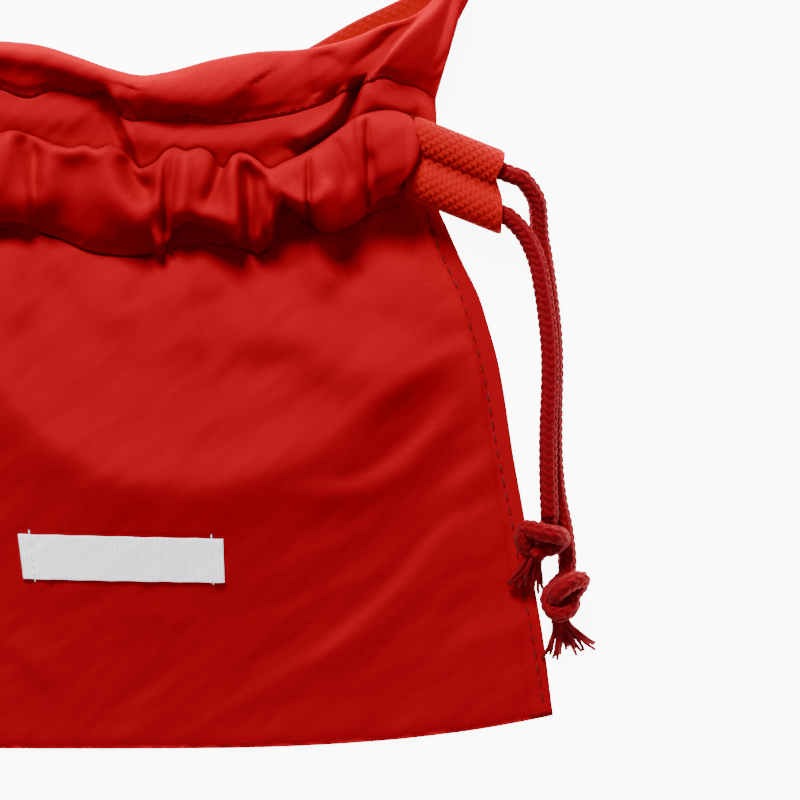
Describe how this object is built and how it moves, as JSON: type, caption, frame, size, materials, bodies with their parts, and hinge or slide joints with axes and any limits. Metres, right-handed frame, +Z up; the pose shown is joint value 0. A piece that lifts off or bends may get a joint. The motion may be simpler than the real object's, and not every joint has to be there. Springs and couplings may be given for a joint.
{
  "type": "kinchaku drawstring pouch",
  "caption": "Flat kinchaku pouch in thin nylon with a gathered casing, knotted braided drawcord, webbing cord slider and narrow strap.",
  "frame": {"origin": "on the centre line, on the flat underside of the back panel, 90 mm above the bottom fold", "axes": "+X to the side that has the slider, +Y towards the mouth, +Z up from the surface that the pouch lies on"},
  "size_m": [0.2514, 0.207, 0.0195],
  "materials": {
    "nylon_cloth": "satin matte woven nylon",
    "twill_tape": "white ribbed cotton tape",
    "braided_cord": "matte round braid",
    "slider_webbing": "matte basket weave webbing",
    "strap_webbing": "matte basket weave webbing"
  },
  "bodies": {
    "pouch": {"pouch_body": "nylon_cloth", "label": "twill_tape", "drawcord": "braided_cord", "cord_end_front": "braided_cord", "cord_end_back": "braided_cord", "knot_front": "braided_cord", "knot_back": "braided_cord", "carry_strap": "strap_webbing"},
    "slider": {"cord_slider": "slider_webbing"}
  },
  "joints": [
    {"name": "slider_slide", "type": "slide", "parent": "pouch", "child": "slider", "axis": [0.9291, -0.3697, 0], "range_m": [0, 0.015], "deforming": ["cord_end_front", "cord_end_back"]}
  ]
}
